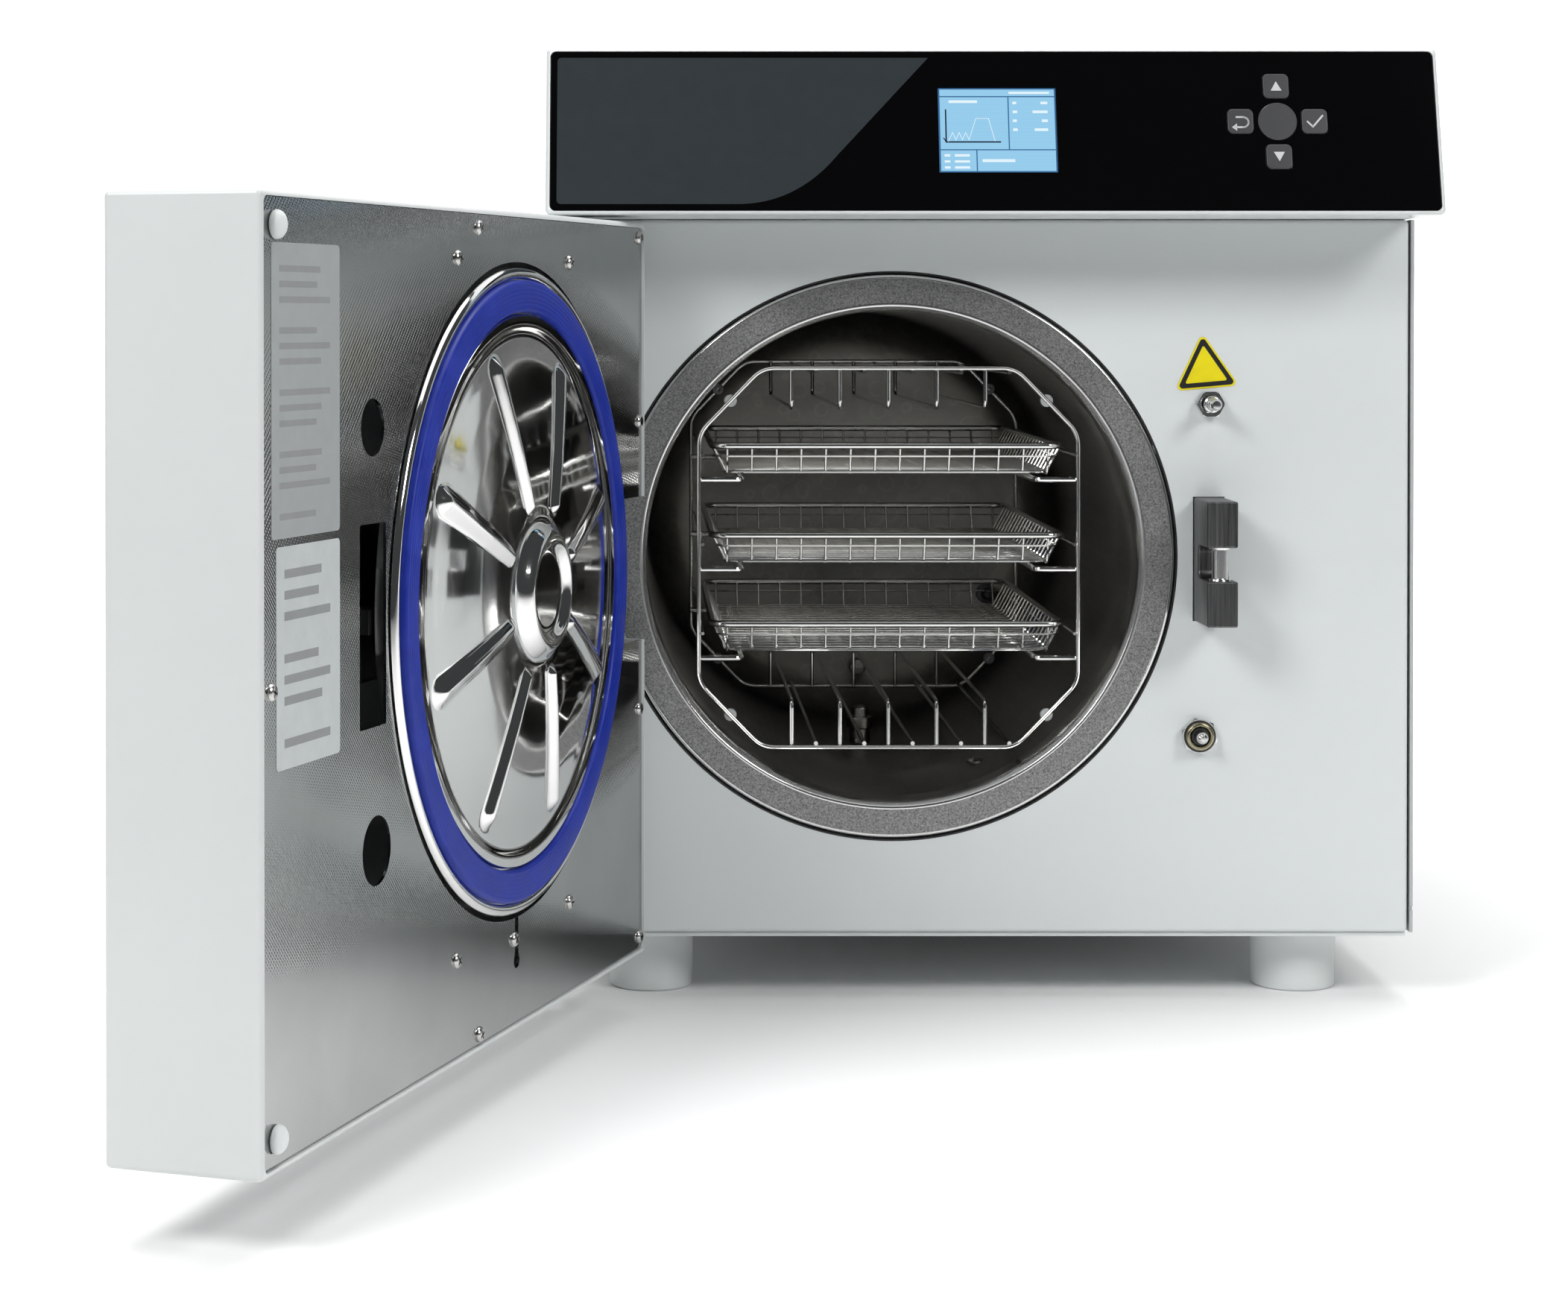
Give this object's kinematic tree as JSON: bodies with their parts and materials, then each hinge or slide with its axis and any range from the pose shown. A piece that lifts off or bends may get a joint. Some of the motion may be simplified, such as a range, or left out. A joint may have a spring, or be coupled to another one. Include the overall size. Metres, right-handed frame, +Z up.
{
  "type": "benchtop autoclave",
  "caption": "Benchtop steam autoclave with a side-hinged pressure door, round chamber, wire rack with removable trays and a sloping control console.",
  "frame": {"origin": "middle of the footprint of the whole machine with its door open, on the bench", "axes": "+X to the right seen from the front, +Y from the door into the machine, +Z up"},
  "size_m": [0.5921, 0.9382, 0.482],
  "materials": {
    "white_paint": "satin powder coat",
    "white_plastic": "smooth moulded white",
    "black_glass": "glossy black",
    "screen": "lit display",
    "key_grey": "satin dark grey",
    "stainless": "brushed stainless steel",
    "satin_steel": "bead blasted steel",
    "polished": "mirror polished stainless steel",
    "dark_steel": "machined dark steel",
    "blue_silicone": "blue silicone",
    "black_rubber": "black silicone",
    "felt": "mineral felt",
    "brass": "machined brass",
    "galvanised": "galvanised sheet",
    "board_green": "circuit board",
    "tank_plastic": "natural polyethylene",
    "black_plastic": "black moulded plastic"
  },
  "bodies": {
    "cabinet": {"base_plate": "white_paint", "chamber_flange": "satin_steel", "chamber_vessel": "stainless", "console_glass": "black_glass", "console_shell": "white_plastic", "control_board": "board_green", "display_screen": "screen", "drain_outlet": "brass", "fan_frame": "black_plastic", "flange_trim_ring": "black_rubber", "foot_front_left": "white_plastic", "foot_front_right": "white_plastic", "foot_rear_left": "white_plastic", "foot_rear_right": "white_plastic", "front_panel": "white_paint", "heater_band": "black_rubber", "hinge_bracket_lower": "stainless", "hinge_pin_upper": "stainless", "insulation_jacket": "felt", "latch_block": "dark_steel", "latch_pin": "polished", "lock_bolt_nut": "polished", "outer_cover": "white_paint", "power_entry": "black_plastic", "rear_panel": "galvanised", "safety_valve": "brass", "solenoid_block": "brass", "steam_fitting": "polished", "switch_bush": "brass", "switch_nut": "polished", "temperature_probe": "dark_steel", "vacuum_pump": "galvanised", "water_reservoir": "tank_plastic"},
    "door": {"door_shell": "white_plastic", "door_liner": "stainless", "door_lid": "polished", "door_gasket": "blue_silicone", "door_yoke": "dark_steel", "lock_motor": "galvanised", "bumper_top": "white_plastic", "bumper_bottom": "white_plastic"},
    "rack": {"rack_front_frame": "polished", "rack_rear_frame": "polished", "rack_rails_left": "polished", "rack_rails_right": "polished", "rack_guide_top": "polished", "rack_guide_bottom": "polished"},
    "door_wedge": {"lock_wedge": "dark_steel"},
    "upper_tray": {"tray_top": "polished"},
    "centre_tray": {"tray_middle": "polished"},
    "lower_tray": {"tray_bottom": "polished"},
    "back_key": {"key_back": "key_grey"},
    "enter_key": {"key_enter": "key_grey"},
    "up_key": {"key_up": "key_grey"},
    "down_key": {"key_down": "key_grey"},
    "door_switch": {"switch_plunger": "polished"},
    "safety_bolt": {"lock_bolt": "polished"},
    "mains_rocker": {"power_rocker": "black_plastic"},
    "fan_wheel": {"fan_rotor": "black_plastic"},
    "tank_cap": {"fill_cap": "black_plastic"}
  },
  "joints": [
    {"name": "door_swing", "type": "hinge", "parent": "cabinet", "child": "door", "pos_m": [-0.12804, -0.05765, 0], "axis": [0, 0, -1], "range_deg": [-108.6, 11.4]},
    {"name": "wedge_slide", "type": "slide", "parent": "door", "child": "door_wedge", "axis": [-0.319, -0.9478, 0], "range_m": [0, 0.022]},
    {"name": "rack_slide", "type": "slide", "parent": "cabinet", "child": "rack", "axis": [0, -1, 0], "range_m": [0, 0.3]},
    {"name": "upper_tray_slide", "type": "slide", "parent": "rack", "child": "upper_tray", "axis": [0, -1, 0], "range_m": [0, 0.25]},
    {"name": "centre_tray_slide", "type": "slide", "parent": "rack", "child": "centre_tray", "axis": [0, -1, 0], "range_m": [0, 0.25]},
    {"name": "lower_tray_slide", "type": "slide", "parent": "rack", "child": "lower_tray", "axis": [0, -1, 0], "range_m": [0, 0.25]},
    {"name": "back_key_press", "type": "slide", "parent": "cabinet", "child": "back_key", "axis": [0, 0.967, -0.2548], "range_m": [0, 0.0006], "stiffness_N_per_m": 900, "springref_m": -0.0006},
    {"name": "enter_key_press", "type": "slide", "parent": "cabinet", "child": "enter_key", "axis": [0, 0.967, -0.2548], "range_m": [0, 0.0006], "stiffness_N_per_m": 900, "springref_m": -0.0006},
    {"name": "up_key_press", "type": "slide", "parent": "cabinet", "child": "up_key", "axis": [0, 0.967, -0.2548], "range_m": [0, 0.0006], "stiffness_N_per_m": 900, "springref_m": -0.0006},
    {"name": "down_key_press", "type": "slide", "parent": "cabinet", "child": "down_key", "axis": [0, 0.967, -0.2548], "range_m": [0, 0.0006], "stiffness_N_per_m": 900, "springref_m": -0.0006},
    {"name": "switch_press", "type": "slide", "parent": "cabinet", "child": "door_switch", "axis": [0, 1, 0], "range_m": [0, 0.004], "stiffness_N_per_m": 500, "springref_m": -0.003},
    {"name": "bolt_slide", "type": "slide", "parent": "cabinet", "child": "safety_bolt", "axis": [0, -1, 0], "range_m": [0, 0.008], "stiffness_N_per_m": 400, "springref_m": -0.003},
    {"name": "rocker_tilt", "type": "hinge", "parent": "cabinet", "child": "mains_rocker", "pos_m": [0.23626, 0.45035, 0.128], "axis": [-1, 0, 0], "range_deg": [0, 16]},
    {"name": "fan_spin", "type": "hinge", "parent": "cabinet", "child": "fan_wheel", "pos_m": [0.23926, 0.44235, 0.3], "axis": [0, 1, 0], "continuous": true},
    {"name": "cap_lift", "type": "slide", "parent": "cabinet", "child": "tank_cap", "axis": [0, 0, 1], "range_m": [0, 0.04]}
  ]
}
